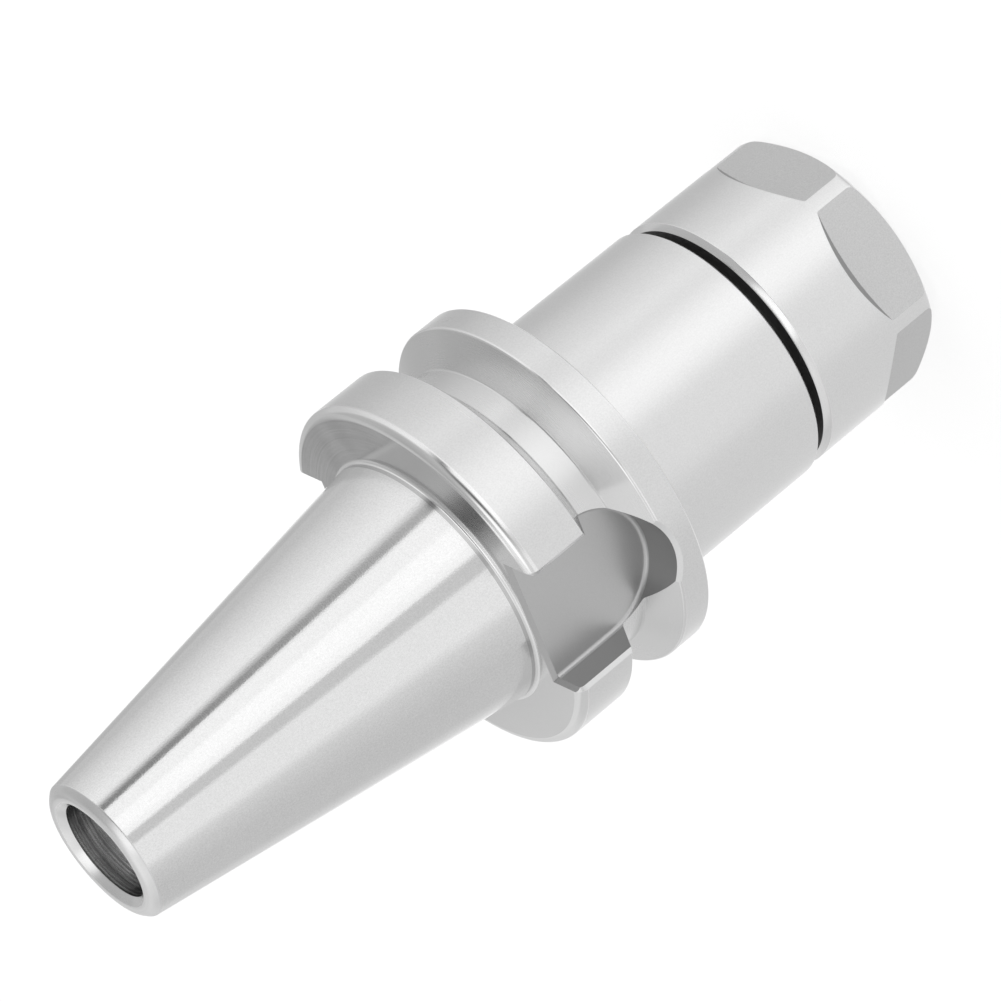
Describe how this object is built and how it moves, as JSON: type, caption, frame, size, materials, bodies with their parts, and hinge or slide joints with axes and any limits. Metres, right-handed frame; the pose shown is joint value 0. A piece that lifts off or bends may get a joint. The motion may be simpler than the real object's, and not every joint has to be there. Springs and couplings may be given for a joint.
{
  "type": "collet chuck holder",
  "caption": "Steep taper tool holder with a V-groove gripper flange, two drive keyways, a cylindrical nose, a slotted spring collet and a clamping nut with short spanner flats.",
  "frame": {"origin": "centre of the taper's gauge circle, on the axis, 66.8 mm above the nut's face", "axes": "+Z along the axis from the nut to the small end of the taper, +X through the middle of one drive keyway"},
  "size_m": [0.046, 0.046, 0.1152],
  "materials": {
    "ground_steel": "ground and fine turned",
    "nut_steel": "fine turned, with matt milled flats",
    "collet_steel": "ground",
    "blackened_steel": "black oxide"
  },
  "bodies": {
    "holder": {"holder_body": "ground_steel"},
    "collet": {"collet": "collet_steel"},
    "nut": {"clamping_nut": "nut_steel"},
    "stop": {"stop_screw": "blackened_steel"}
  },
  "joints": [
    {"name": "collet_slide", "type": "slide", "parent": "holder", "child": "collet", "axis": [0, 0, -1], "range_m": [0, 0.0105]},
    {"name": "nut_turn", "type": "hinge", "parent": "collet", "child": "nut", "pos_m": [0, 0, -0.0668], "axis": [0, 0, -1], "range_deg": [0, 2520]},
    {"name": "stop_adjust", "type": "slide", "parent": "holder", "child": "stop", "axis": [0, 0, 1], "range_m": [-0.002, 0.008]}
  ],
  "couplings": [
    {"joint": "collet_slide", "follows": "nut_turn", "m_per_rad": 0.00023873}
  ]
}
